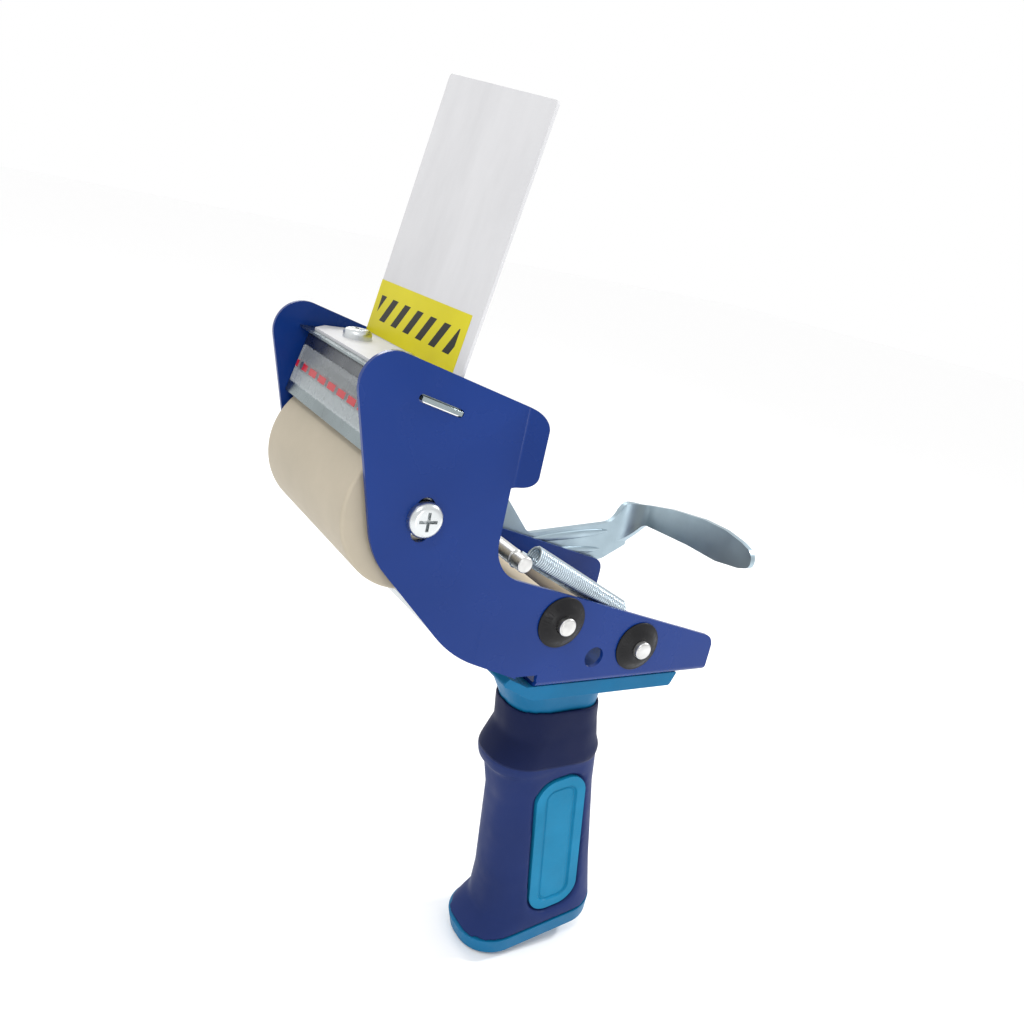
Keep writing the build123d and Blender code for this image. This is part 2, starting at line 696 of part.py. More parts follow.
# ---------------------------------------------------------------- clamping plate and wiper flap
def web_point(reach, height):
    """Place above the bracket's web: reach along it to the rear, height above its upper face."""
    up = web_half + height
    return (
        bracket_at[0] + reach * slope_dir[0] + up * web_up[0],
        bracket_at[1] + reach * slope_dir[1] + up * web_up[1],
    )


leaf_front = leg_top[0] - 3.7
fold_x = web_point(tab_len / 2 + 1.4, 0)[0]
leaf_top_z = top_leaf_z + leaf_t
with BuildPart() as top_plate:
    with BuildSketch(side_plane(channel / 2 - gap)):
        with BuildLine():
            Polyline(
                (leaf_front, top_leaf_z), (fold_x - leaf_t, top_leaf_z), web_point(tab_len / 2 + 0.6, leaf_t),
                web_point(-9.5, leaf_t), web_point(-9.5, 0), web_point(tab_len / 2 + 1.4, 0),
                (fold_x, leaf_top_z), (leaf_front, leaf_top_z), close=True,
            )
        make_face()
    extrude(amount=channel - 2 * gap)
    with BuildSketch(Plane.XY.offset(80.0)):
        with Locations((clamp_x, -clamp_y), (clamp_x, clamp_y)):
            Circle(clamp_d / 2 + 0.2)
    extrude(amount=30.0, mode=Mode.SUBTRACT)
top_plate.part.label = "top_plate"
export_step(top_plate.part, "parts/top_plate.step")

with BuildPart() as screw_spacers:
    with BuildSketch(Plane.XY.offset(top_leaf_z)):
        with Locations((clamp_x, -clamp_y), (clamp_x, clamp_y)):
            Circle(clamp_d / 2 + 1.7)
            Circle(clamp_d / 2 + 0.2, mode=Mode.SUBTRACT)
    extrude(amount=-6.0)
    with BuildSketch(side_plane(half)):
        with BuildLine():
            Polyline(
                web_point(-14.0, leaf_t), web_point(14.0, leaf_t), web_point(14.0, -20.0),
                web_point(-14.0, -20.0), close=True,
            )
        make_face()
    extrude(amount=2 * half, mode=Mode.SUBTRACT)
screw_spacers.part.label = "screw_spacers"
export_step(screw_spacers.part, "parts/screw_spacers.step")

foot_top = leaf_top_z + flap_t
with BuildPart() as clamp_screws:
    with BuildSketch(Plane.XY.offset(foot_top)):
        with Locations((clamp_x, -clamp_y), (clamp_x, clamp_y)):
            Circle(clamp_d)
    extrude(amount=3.3)
    fillet(clamp_screws.edges().filter_by(GeomType.CIRCLE).group_by(Axis.Z)[-1], 2.0)
    with BuildSketch(Plane.XY.offset(foot_top)):
        with Locations((clamp_x, -clamp_y), (clamp_x, clamp_y)):
            Circle(clamp_d / 2 - seat)
    extrude(amount=-(foot_top - 86.6))
    with BuildSketch(Plane.XY.offset(foot_top + 3.3)):
        with Locations((clamp_x, -clamp_y), (clamp_x, clamp_y)):
            Rectangle(5.4, 1.0)
            Rectangle(1.0, 5.4)
    extrude(amount=-1.8, mode=Mode.SUBTRACT)
clamp_screws.part.label = "clamp_screws"
export_step(clamp_screws.part, "parts/clamp_screws.step")

with BuildPart() as weld_nuts:
    with BuildSketch(Plane.XY.offset(87.4)):
        with Locations((clamp_x, -clamp_y), (clamp_x, clamp_y)):
            RegularPolygon(4.6, 6)
            Circle(clamp_d / 2, mode=Mode.SUBTRACT)
    extrude(amount=8.0)
    with BuildSketch(side_plane(half)):
        with BuildLine():
            Polyline(
                web_point(-14.0, -bracket_sheet), web_point(14.0, -bracket_sheet), web_point(14.0, 20.0),
                web_point(-14.0, 20.0), close=True,
            )
        make_face()
    extrude(amount=2 * half, mode=Mode.SUBTRACT)
weld_nuts.part.label = "weld_nuts"
export_step(weld_nuts.part, "parts/weld_nuts.step")

flap_half = flap_w / 2
flap_front = leaf_front + 2.5
tilt = radians(flap_lean)
leaf_plane = Plane(
    origin=(flap_bend_x, 0, foot_top), x_dir=(0, -1, 0), z_dir=(-cos(tilt), 0, sin(tilt))
)
with BuildPart() as wiper_flap:
    with BuildSketch(Plane.XY.offset(leaf_top_z)):
        with BuildLine():
            Polyline(
                (flap_bend_x + 0.8 * flap_t, -flap_half), (flap_bend_x + 0.8 * flap_t, flap_half),
                (flap_front + 6.0, flap_half), (flap_front, flap_half - 7.0), (flap_front, -flap_half),
                close=True,
            )
        make_face()
    extrude(amount=flap_t)
    with BuildSketch(leaf_plane):
        with BuildLine():
            Polyline(
                (-flap_half, -0.6 * flap_t), (flap_half, -0.6 * flap_t),
                (flap_half, flap_h - flap_skew), (-flap_half, flap_h), close=True,
            )
        make_face()
        fillet(vertices().sort_by(Axis.Y)[-2:], 1.5)
    extrude(amount=-flap_t)
    with BuildSketch(Plane.XY.offset(80.0)):
        with Locations((clamp_x, -clamp_y), (clamp_x, clamp_y)):
            Circle(clamp_d / 2 + 0.2)
    extrude(amount=30.0, mode=Mode.SUBTRACT)
wiper_flap.part.label = "wiper_flap"
export_step(wiper_flap.part, "parts/wiper_flap.step")

with BuildPart() as flap_label:
    with BuildSketch(leaf_plane):
        with BuildLine():
            Polyline(
                (-flap_half, 0.3), (label_w - flap_half, 0.3),
                (label_w - flap_half, label_h), (-flap_half, label_h), close=True,
            )
        make_face()
    extrude(amount=label_t)
flap_label.part.label = "flap_label"
export_step(flap_label.part, "parts/flap_label.step")

# ---------------------------------------------------------------- guide strip across the lower front
guide_t = 1.2
with BuildPart() as guide_strip:
    with BuildSketch(side_plane(channel / 2 - seat)):
        with BuildLine():
            FilletPolyline(
                (-83.9, 27.2), (-66.0, 8.6), (-50.0, 1.9), (-49.5, 3.0), (-65.3, 9.6), (-83.0, 28.0),
                radius=[0, 40.0, 0, 0, 40.0 - guide_t, 0], close=True,
            )
        make_face()
    extrude(amount=channel - 2 * seat)
guide_strip.part.label = "guide_strip"
export_step(guide_strip.part, "parts/guide_strip.step")
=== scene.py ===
import json
from math import atan2, cos, pi, radians, sin

import bmesh
import bpy
from mathutils import Matrix, Vector

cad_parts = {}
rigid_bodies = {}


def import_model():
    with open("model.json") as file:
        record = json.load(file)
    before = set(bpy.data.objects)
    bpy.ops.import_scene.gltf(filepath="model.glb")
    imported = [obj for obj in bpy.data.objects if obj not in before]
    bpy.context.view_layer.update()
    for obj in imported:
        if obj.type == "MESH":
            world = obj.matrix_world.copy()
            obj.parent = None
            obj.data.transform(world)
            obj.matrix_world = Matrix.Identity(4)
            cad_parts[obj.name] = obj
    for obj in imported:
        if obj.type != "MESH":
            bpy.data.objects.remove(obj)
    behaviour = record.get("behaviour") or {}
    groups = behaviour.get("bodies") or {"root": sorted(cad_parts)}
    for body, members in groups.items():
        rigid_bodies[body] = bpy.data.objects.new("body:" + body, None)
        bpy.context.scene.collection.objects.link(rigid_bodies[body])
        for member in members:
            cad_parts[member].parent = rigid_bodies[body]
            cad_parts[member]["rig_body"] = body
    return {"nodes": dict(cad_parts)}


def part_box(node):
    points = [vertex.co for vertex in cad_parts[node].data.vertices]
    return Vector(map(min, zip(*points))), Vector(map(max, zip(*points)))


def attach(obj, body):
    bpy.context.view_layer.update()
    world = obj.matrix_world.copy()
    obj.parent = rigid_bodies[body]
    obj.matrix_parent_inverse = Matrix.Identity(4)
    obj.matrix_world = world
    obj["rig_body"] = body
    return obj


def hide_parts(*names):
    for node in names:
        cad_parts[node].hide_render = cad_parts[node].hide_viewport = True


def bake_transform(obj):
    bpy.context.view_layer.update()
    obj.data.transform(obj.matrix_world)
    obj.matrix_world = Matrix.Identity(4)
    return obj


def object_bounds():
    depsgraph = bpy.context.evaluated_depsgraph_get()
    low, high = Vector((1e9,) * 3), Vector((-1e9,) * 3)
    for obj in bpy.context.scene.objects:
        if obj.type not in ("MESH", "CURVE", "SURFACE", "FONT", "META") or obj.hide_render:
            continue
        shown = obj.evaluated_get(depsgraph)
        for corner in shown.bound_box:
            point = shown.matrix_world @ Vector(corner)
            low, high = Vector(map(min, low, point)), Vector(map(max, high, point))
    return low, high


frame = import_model()
cad_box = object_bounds()
MM = 0.001

# places in the part, in millimetres
BAR = Vector((-40.5, -34.0, 38.3))          # where the spring hooks over the brake bar
REAR_SHAFT = Vector((19.9, -34.0, 3.4))     # and over the rear shaft
COIL_FRONT = Vector((-34.2, -34.0, 39.6))
COIL_REAR = Vector((11.8, -34.0, 16.3))
COIL_RADIUS = 3.72
WIRE_RADIUS = 0.43
COIL_PITCH = 1.05
COIL_STEPS = 18                             # steps of each turn
WIRE_SIDES = 8
BAR_REACH = 2.97                            # from the brake bar's middle to the wire over it
SHAFT_REACH = 4.42                          # and from the rear shaft's
HOOK_TURN = radians(215)
HOOK_STEPS = 22
ARM_FACE = 41.2                             # outer face of the lever's arm
RIB_PROUD = 0.85
RIB_HEIGHT = 4.2
PANEL_SIZE = (25.2, 70.8)
PANEL_CORNER = 9.8
PANEL_EDGE = 0.5                            # the panel's rim is this much lower
GROOVE_DEPTH = 0.9
GRIP_TOP = Vector((10.5, 0, -11.2))         # where the handle's axis leaves the base
GRIP_LEAN = radians(10)
COLLAR_END = 55.5                           # end of the grip's smooth collar, down the handle
COLLAR_SLANT = 0.17
FLAP_LEAN = 0.17
BRACKET_LEAN = radians(15.2)
BAR_HALF_PITCH = 4.4                        # half the spacing of the guard's red bars
BAR_HALF_LENGTH = 3.2
BAR_HALF_HEIGHT = 1.0
STRIPE_HALF_PITCH = 5.0                     # and of the sticker's dark bars
STRIPE_HALF_WIDTH = 2.3
STRIPE_HALF_HEIGHT = 4.3
STRIPE_SLANT = 0.7
STICKER_MARGIN = 4.0


# ------------------------------------------------------------------ making finishes
class Finish:
    """A material with one surface shader, built up node by node."""

    def __init__(self, name, colour, roughness, metallic=0.0):
        self.material = bpy.data.materials.new(name)
        self.material.use_nodes = True
        self.nodes = self.material.node_tree.nodes
        self.links = self.material.node_tree.links
        self.shader = self.nodes["Principled BSDF"]
        self.shader.inputs["Base Color"].default_value = (*colour, 1)
        self.shader.inputs["Roughness"].default_value = roughness
        self.shader.inputs["Metallic"].default_value = metallic
        self.heights = []

    def place(self, turn=(0, 0, 0), stretch=(1, 1, 1)):
        """Object coordinates, turned and stretched."""
        where = self.nodes.new("ShaderNodeTexCoord")
        mapping = self.nodes.new("ShaderNodeMapping")
        mapping.inputs["Rotation"].default_value = turn
        mapping.inputs["Scale"].default_value = stretch
        self.links.new(where.outputs["Object"], mapping.inputs["Vector"])
        return mapping.outputs["Vector"]

    def noise(self, scale, detail=3.0, roughness=0.5, at=None):
        noise = self.nodes.new("ShaderNodeTexNoise")
        noise.inputs["Scale"].default_value = scale
        noise.inputs["Detail"].default_value = detail
        noise.inputs["Roughness"].default_value = roughness
        self.links.new(at or self.place(), noise.inputs["Vector"])
        return noise.outputs["Fac"]

    def ramp(self, value, *stops):
        """Colours or greys along a value: each stop is a position and a colour."""
        ramp = self.nodes.new("ShaderNodeValToRGB")
        elements = ramp.color_ramp.elements
        while len(elements) < len(stops):
            elements.new(0.5)
        for element, (position, colour) in zip(elements, stops):
            element.position = position
            element.color = (*colour, 1) if isinstance(colour, tuple) else (colour, colour, colour, 1)
        self.links.new(value, ramp.inputs["Fac"])
        return ramp.outputs["Color"]

    def maths(self, operation, first, second=0.0, third=0.0):
        node = self.nodes.new("ShaderNodeMath")
        node.operation = operation
        for socket, value in zip(node.inputs, (first, second, third)):
            if isinstance(value, (int, float)):
                socket.default_value = value
            else:
                self.links.new(value, socket)
        return node.outputs["Value"]

    def mix(self, share, under, over):
        """One colour laid over another by a share from 0 to 1."""
        node = self.nodes.new("ShaderNodeMix")
        node.data_type = "RGBA"
        for socket, value in ((node.inputs[0], share), (node.inputs[6], under), (node.inputs[7], over)):
            if isinstance(value, tuple):
                socket.default_value = (*value, 1)
            elif isinstance(value, (int, float)):
                socket.default_value = value
            else:
                self.links.new(value, socket)
        return node.outputs[2]

    def colour(self, value):
        self.links.new(value, self.shader.inputs["Base Color"])

    def roughness(self, value):
        self.links.new(value, self.shader.inputs["Roughness"])

    def relief(self, value, depth, strength=1.0):
        """Bump, in metres; several reliefs add up."""
        bump = self.nodes.new("ShaderNodeBump")
        bump.inputs["Distance"].default_value = depth
        bump.inputs["Strength"].default_value = strength
        self.links.new(value, bump.inputs["Height"])
        if self.heights:
            self.links.new(self.heights[-1], bump.inputs["Normal"])
        self.heights.append(bump.outputs["Normal"])
        self.links.new(bump.outputs["Normal"], self.shader.inputs["Normal"])


def blue_powder_coat():
    paint = Finish("blue_powder_coat", (0.006, 0.033, 0.21), 0.24)
    cloud = paint.noise(14, 2)
    paint.colour(paint.ramp(cloud, (0.35, (0.003, 0.026, 0.16)), (0.65, (0.005, 0.032, 0.19))))
    paint.roughness(paint.ramp(paint.noise(60, 4), (0.3, 0.18), (0.75, 0.32)))
    paint.relief(paint.noise(420, 2), 0.00006, 0.3)
    paint.shader.inputs["Specular IOR Level"].default_value = 0.2
    return paint.material


def turquoise_plastic(name, colour):
    plastic = Finish(name, colour, 0.42)
    mottle = plastic.noise(26, 5, 0.65)
    darker = tuple(0.88 * part for part in colour)
    lighter = tuple(1.13 * part for part in colour)
    plastic.colour(plastic.ramp(mottle, (0.32, darker), (0.68, lighter)))
    plastic.roughness(plastic.ramp(plastic.noise(90, 3), (0.3, 0.34), (0.7, 0.52)))
    plastic.relief(plastic.noise(900, 2), 0.00005, 0.4)
    plastic.shader.inputs["Specular IOR Level"].default_value = 0.13
    return plastic.material


def navy_grip():
    """Soft grip: a darker, smoother collar above, and a finely textured hand below."""
    grip = Finish("navy_grip", (0.018, 0.03, 0.12), 0.55)
    split = grip.nodes.new("ShaderNodeSeparateXYZ")
    grip.links.new(grip.place(), split.inputs["Vector"])
    lean_sin, lean_cos = sin(GRIP_LEAN), cos(GRIP_LEAN)
    across = grip.maths(
        "MULTIPLY_ADD", split.outputs["X"], 1000 * lean_cos, -GRIP_TOP.x * lean_cos - GRIP_TOP.z * lean_sin
    )
    across = grip.maths("MULTIPLY_ADD", split.outputs["Z"], 1000 * lean_sin, across)
    down = grip.maths(
        "MULTIPLY_ADD", split.outputs["X"], 1000 * lean_sin, -GRIP_TOP.x * lean_sin + GRIP_TOP.z * lean_cos
    )
    down = grip.maths("MULTIPLY_ADD", split.outputs["Z"], -1000 * lean_cos, down)
    below = grip.maths("MULTIPLY_ADD", across, -COLLAR_SLANT, down)
    past_collar = grip.maths("MULTIPLY_ADD", below, 0.1, 0.5 - 0.1 * COLLAR_END)
    hand = grip.ramp(past_collar, (0.45, 0.0), (0.55, 1.0))
    cloud = grip.noise(18, 3)
    worn = grip.ramp(cloud, (0.3, (0.009, 0.021, 0.095)), (0.7, (0.015, 0.03, 0.125)))
    grip.colour(grip.mix(hand, (0.003, 0.008, 0.045), worn))
    grip.roughness(grip.ramp(grip.noise(70, 4), (0.3, 0.44), (0.7, 0.64)))
    grip.relief(grip.noise(1500, 3), 0.00008, 0.5)
    grip.relief(hand, -0.0006, 1.0)
    grip.shader.inputs["Specular IOR Level"].default_value = 0.12
    return grip.material


def zinc(name="zinc", tint=(0.28, 0.33, 0.34), gloss=0.2, evenness=0.74):
    """Zinc plating: bluish, with blotchy gloss and faint rolling lines."""
    plating = Finish(name, tint, 0.28, 1.0)
    darker = tuple(evenness * part for part in tint)
    blotch = plating.noise(45, 4, 0.6)
    plating.colour(plating.ramp(blotch, (0.3, darker), (0.7, tint)))
    lines = plating.noise(1.0, 3, 0.6, plating.place(stretch=(90, 1400, 1400)))
    plating.roughness(plating.ramp(plating.noise(120, 4), (0.3, gloss), (0.75, gloss + 0.18)))
    plating.relief(lines, 0.00003, 0.3)
    plating.relief(plating.noise(60, 2), 0.0002, 0.12)
    return plating.material


def beige_rubber():
    rubber = Finish("beige_rubber", (0.48, 0.42, 0.32), 0.62)
    cloud = rubber.noise(30, 4, 0.6)
    rubber.colour(rubber.ramp(cloud, (0.3, (0.385, 0.34, 0.26)), (0.7, (0.445, 0.39, 0.3))))
    ground = rubber.noise(1.0, 3, 0.5, rubber.place((0, 0, 0), (900, 160, 900)))
    rubber.relief(ground, 0.00008, 0.35)
    rubber.relief(rubber.noise(1100, 2), 0.00004, 0.4)
    return rubber.material


def pale_plastic(name, colour):
    plastic = Finish(name, colour, 0.5)
    lighter = tuple(min(1.0, 1.12 * part) for part in colour)
    plastic.colour(plastic.ramp(plastic.noise(60, 3), (0.3, colour), (0.7, lighter)))
    plastic.relief(plastic.noise(700, 2), 0.00005, 0.3)
    return plastic.material


def shaft_steel():
    steel = Finish("shaft_steel", (0.62, 0.62, 0.61), 0.32, 1.0)
    rings = steel.noise(1.0, 2, 0.5, steel.place((0, 0, 0), (200, 2600, 200)))
    steel.colour(steel.ramp(rings, (0.3, (0.5, 0.5, 0.49)), (0.7, (0.7, 0.7, 0.69))))
    steel.roughness(steel.ramp(steel.noise(150, 3), (0.3, 0.25), (0.7, 0.42)))
    steel.relief(rings, 0.00004, 0.35)
    return steel.material


def black_cap():
    black = Finish("black_cap", (0.006, 0.006, 0.007), 0.34)
    black.shader.inputs["Specular IOR Level"].default_value = 0.2
    worn = black.noise(240, 4, 0.7)
    black.colour(black.ramp(worn, (0.6, (0.006, 0.006, 0.007)), (0.85, (0.04, 0.04, 0.044))))
    black.roughness(black.ramp(black.noise(90, 3), (0.3, 0.26), (0.7, 0.5)))
    return black.material


def clear_guard():
    """Clear plastic with a row of plain red bars."""
    clear = Finish("clear_guard", (0.9, 0.93, 0.95), 0.14)
    across = (0, BRACKET_LEAN, 0)
    split = clear.nodes.new("ShaderNodeSeparateXYZ")
    clear.links.new(clear.place(across), split.inputs["Vector"])
    bars = clear.maths("PINGPONG", clear.maths("MULTIPLY", split.outputs["Y"], 1000.0), BAR_HALF_PITCH)
    in_bar = clear.maths("LESS_THAN", bars, BAR_HALF_LENGTH)
    low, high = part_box("blade_guard")
    centre = (low + high) / 2
    middle = centre.z * cos(BRACKET_LEAN) - centre.x * sin(BRACKET_LEAN)
    height = clear.maths("ABSOLUTE", clear.maths("SUBTRACT", split.outputs["Z"], middle))
    in_row = clear.maths("LESS_THAN", height, BAR_HALF_HEIGHT * MM)
    red = clear.maths("MULTIPLY", in_bar, in_row)
    clear.colour(clear.mix(red, (0.6, 0.64, 0.66), (0.42, 0.01, 0.018)))
    clear.links.new(clear.maths("MULTIPLY_ADD", red, 0.74, 0.26), clear.shader.inputs["Alpha"])
    clear.roughness(clear.ramp(clear.noise(80, 4), (0.35, 0.1), (0.75, 0.3)))
    clear.relief(clear.noise(50, 2), 0.0002, 0.1)
    clear.material.surface_render_method = "BLENDED"
    return clear.material


def flap_plastic():
    """Milky sheet that lets a little light through, with faint scuffs."""
    sheet = Finish("flap_plastic", (0.7, 0.7, 0.73), 0.42)
    scuffs = sheet.noise(1.0, 5, 0.65, sheet.place((0, FLAP_LEAN, 0), (60, 40, 8)))
    sheet.colour(sheet.ramp(scuffs, (0.3, (0.55, 0.55, 0.565)), (0.75, (0.63, 0.63, 0.645))))
    sheet.roughness(sheet.ramp(sheet.noise(50, 4), (0.3, 0.34), (0.7, 0.55)))
    sheet.relief(scuffs, 0.0001, 0.12)
    sheet.shader.inputs["Subsurface Weight"].default_value = 0.1
    sheet.shader.inputs["Subsurface Radius"].default_value = (0.002, 0.002, 0.002)
    return sheet.material


def yellow_sticker():
    """Yellow foil with slanting black bars in its middle."""
    foil = Finish("yellow_sticker", (0.78, 0.72, 0.02), 0.36)
    split = foil.nodes.new("ShaderNodeSeparateXYZ")
    foil.links.new(foil.place(), split.inputs["Vector"])
    slant = foil.maths("MULTIPLY_ADD", split.outputs["Z"], STRIPE_SLANT, split.outputs["Y"])
    stripes = foil.maths("PINGPONG", foil.maths("MULTIPLY", slant, 1000.0), STRIPE_HALF_PITCH)
    dark = foil.maths("LESS_THAN", stripes, STRIPE_HALF_WIDTH)
    low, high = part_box("flap_label")
    middle = (low.z + high.z) / 2
    off_middle = foil.maths("ABSOLUTE", foil.maths("SUBTRACT", split.outputs["Z"], middle))
    band = foil.maths("LESS_THAN", off_middle, STRIPE_HALF_HEIGHT * MM)
    side = foil.maths("ABSOLUTE", foil.maths("SUBTRACT", split.outputs["Y"], (low.y + high.y) / 2))
    inside = foil.maths("LESS_THAN", side, (high.y - low.y) / 2 - STICKER_MARGIN * MM)
    bars = foil.maths("MULTIPLY", foil.maths("MULTIPLY", dark, band), inside)
    yellow = foil.ramp(foil.noise(40, 3), (0.3, (0.57, 0.5, 0.008)), (0.7, (0.63, 0.56, 0.01)))
    foil.colour(foil.mix(bars, yellow, (0.02, 0.02, 0.015)))
    foil.shader.inputs["Specular IOR Level"].default_value = 0.15
    foil.relief(foil.noise(90, 2), 0.0001, 0.15)
    return foil.material


# ------------------------------------------------------------------ pieces
def dressed(node, material, edge=0.3, segments=3, smooth_angle=35):
    """A cleaned copy of a CAD node with rounded edges, which stands for that node."""
    source = frame["nodes"][node]
    mesh = source.data.copy()
    work = bmesh.new()
    work.from_mesh(mesh)
    bmesh.ops.remove_doubles(work, verts=work.verts, dist=0.004 * MM)
    bmesh.ops.dissolve_limit(work, angle_limit=radians(0.6), verts=work.verts, edges=work.edges)
    work.to_mesh(mesh)
    work.free()
    mesh.materials.clear()
    mesh.materials.append(material)
    piece = bpy.data.objects.new(node + "_finish", mesh)
    bpy.context.scene.collection.objects.link(piece)
    if edge:
        round_edges(piece, edge, segments)
    shade(piece, smooth_angle)
    return settle(piece, source["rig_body"], node)


def folded_channel(material):
    """The channel's three nodes as the one folded sheet they are, with softly rounded edges."""
    names = ("side_plate_near", "channel_base", "side_plate_far")
    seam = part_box("channel_base")[1].y
    work = bmesh.new()
    for name in names:
        work.from_mesh(frame["nodes"][name].data)
    cut = [
        face for face in work.faces
        if abs(face.normal.y) > 0.99 and all(abs(abs(v.co.y) - seam) < 0.01 * MM for v in face.verts)
    ]
    bmesh.ops.delete(work, geom=cut, context="FACES")
    bmesh.ops.remove_doubles(work, verts=work.verts, dist=0.004 * MM)
    bmesh.ops.dissolve_limit(work, angle_limit=radians(0.6), verts=work.verts, edges=work.edges)
    piece = from_bmesh(work, "folded_channel", material)
    round_edges(piece, 0.65, 3)
    shade(piece, 35)
    return settle(piece, "tape_gun", *names)


def round_edges(piece, edge, segments):
    bevel = piece.modifiers.new("edges", "BEVEL")
    bevel.width = edge * MM
    bevel.segments = segments
    bevel.limit_method = "ANGLE"
    bevel.angle_limit = radians(40)
    bevel.use_clamp_overlap = True


def shade(piece, smooth_angle):
    """Smooth shading, kept sharp across edges steeper than an angle."""
    piece.data.polygons.foreach_set("use_smooth", [True] * len(piece.data.polygons))
    piece.data.set_sharp_from_angle(angle=radians(smooth_angle))


def settle(piece, body, *nodes):
    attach(piece, body)
    if nodes:
        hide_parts(*nodes)
    return piece


def moulded(node, material, cell=0.8, rounds=18):
    """A copy of a CAD node whose creases are rounded away, as on a moulded grip."""
    piece = dressed(node, material, edge=0)
    remesh = piece.modifiers.new("even_skin", "REMESH")
    remesh.mode = "VOXEL"
    remesh.voxel_size = cell * MM
    remesh.use_smooth_shade = True
    smooth = piece.modifiers.new("rounded", "SMOOTH")
    smooth.iterations = rounds
    smooth.factor = 0.5
    return piece


def coil_spring(material):
    """Close-wound spring: one ring of wire swept round its axis and along it."""
    axis = (COIL_REAR - COIL_FRONT).normalized()
    length = (COIL_REAR - COIL_FRONT).length
    side = Vector((0, 1, 0))
    up = axis.cross(side).normalized()
    turns = int(length / COIL_PITCH)
    work = bmesh.new()
    made = bmesh.ops.create_circle(work, segments=WIRE_SIDES, radius=WIRE_RADIUS)
    stand = Matrix((up, axis, up.cross(axis))).transposed().to_4x4()
    bmesh.ops.transform(work, matrix=stand, verts=made["verts"])
    bmesh.ops.translate(work, vec=COIL_FRONT + up * COIL_RADIUS + axis * WIRE_RADIUS, verts=made["verts"])
    bmesh.ops.spin(
        work, geom=work.verts[:] + work.edges[:], cent=COIL_FRONT, axis=axis,
        dvec=axis * ((length - 2 * WIRE_RADIUS) / turns / COIL_STEPS), angle=2 * pi * turns,
        steps=COIL_STEPS * turns,
        use_duplicate=False,
    )
    for centre, reach, mouth, toward in (
        (BAR, BAR_REACH, COIL_FRONT, 1.0),
        (REAR_SHAFT, SHAFT_REACH, COIL_REAR, -1.0),
    ):
        hook(work, centre, up if up.z > 0 else -up, axis * toward, reach, mouth)
    bmesh.ops.holes_fill(work, edges=[e for e in work.edges if e.is_boundary])
    bmesh.ops.recalc_face_normals(work, faces=work.faces)
    bmesh.ops.scale(work, vec=(MM, MM, MM), verts=work.verts)
    piece = from_bmesh(work, "spring_coil", material)
    shade(piece, 50)
    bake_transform(piece)
    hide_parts("tension_spring")
    return piece


def hook(work, centre, up, along, reach, mouth):
    """A wire from the coil's mouth that bends over a bar."""
    crown = centre + up * reach
    far = crown + along * ((mouth - crown).dot(along) + WIRE_RADIUS)
    made = bmesh.ops.create_circle(work, segments=WIRE_SIDES, radius=WIRE_RADIUS)["verts"]
    across = along.cross(up)
    stand = Matrix((up, across, along)).transposed().to_4x4()
    bmesh.ops.transform(work, matrix=stand, verts=made)
    bmesh.ops.translate(work, vec=far, verts=made)
    edges = list({e for v in made for e in v.link_edges})
    pulled = bmesh.ops.extrude_edge_only(work, edges=edges)["geom"]
    ends = [g for g in pulled if isinstance(g, bmesh.types.BMVert)]
    bmesh.ops.translate(work, vec=crown - far, verts=ends)
    rim = [g for g in pulled if isinstance(g, bmesh.types.BMEdge) and all(v in ends for v in g.verts)]
    bmesh.ops.spin(
        work, geom=ends + rim, cent=centre, axis=across, angle=-HOOK_TURN, steps=HOOK_STEPS,
        use_duplicate=False,
    )
    join_coil(work, far, mouth, up, across)


def join_coil(work, far, mouth, up, across):
    """The last coil bent across the spring's end, up or down to its hook."""
    rise = (far - mouth).dot(up)
    rod = bmesh.ops.create_cone(
        work, cap_ends=True, segments=WIRE_SIDES, radius1=WIRE_RADIUS, radius2=WIRE_RADIUS,
        depth=COIL_RADIUS + rise,
    )["verts"]
    along = across.cross(up)
    stand = Matrix((across, along, up)).transposed().to_4x4()
    bmesh.ops.transform(work, matrix=stand, verts=rod)
    bmesh.ops.translate(work, vec=far + up * (-COIL_RADIUS - rise) / 2, verts=rod)


def from_bmesh(work, name, material):
    mesh = bpy.data.meshes.new(name)
    work.to_mesh(mesh)
    work.free()
    mesh.materials.append(material)
    piece = bpy.data.objects.new(name, mesh)
    bpy.context.scene.collection.objects.link(piece)
    return piece


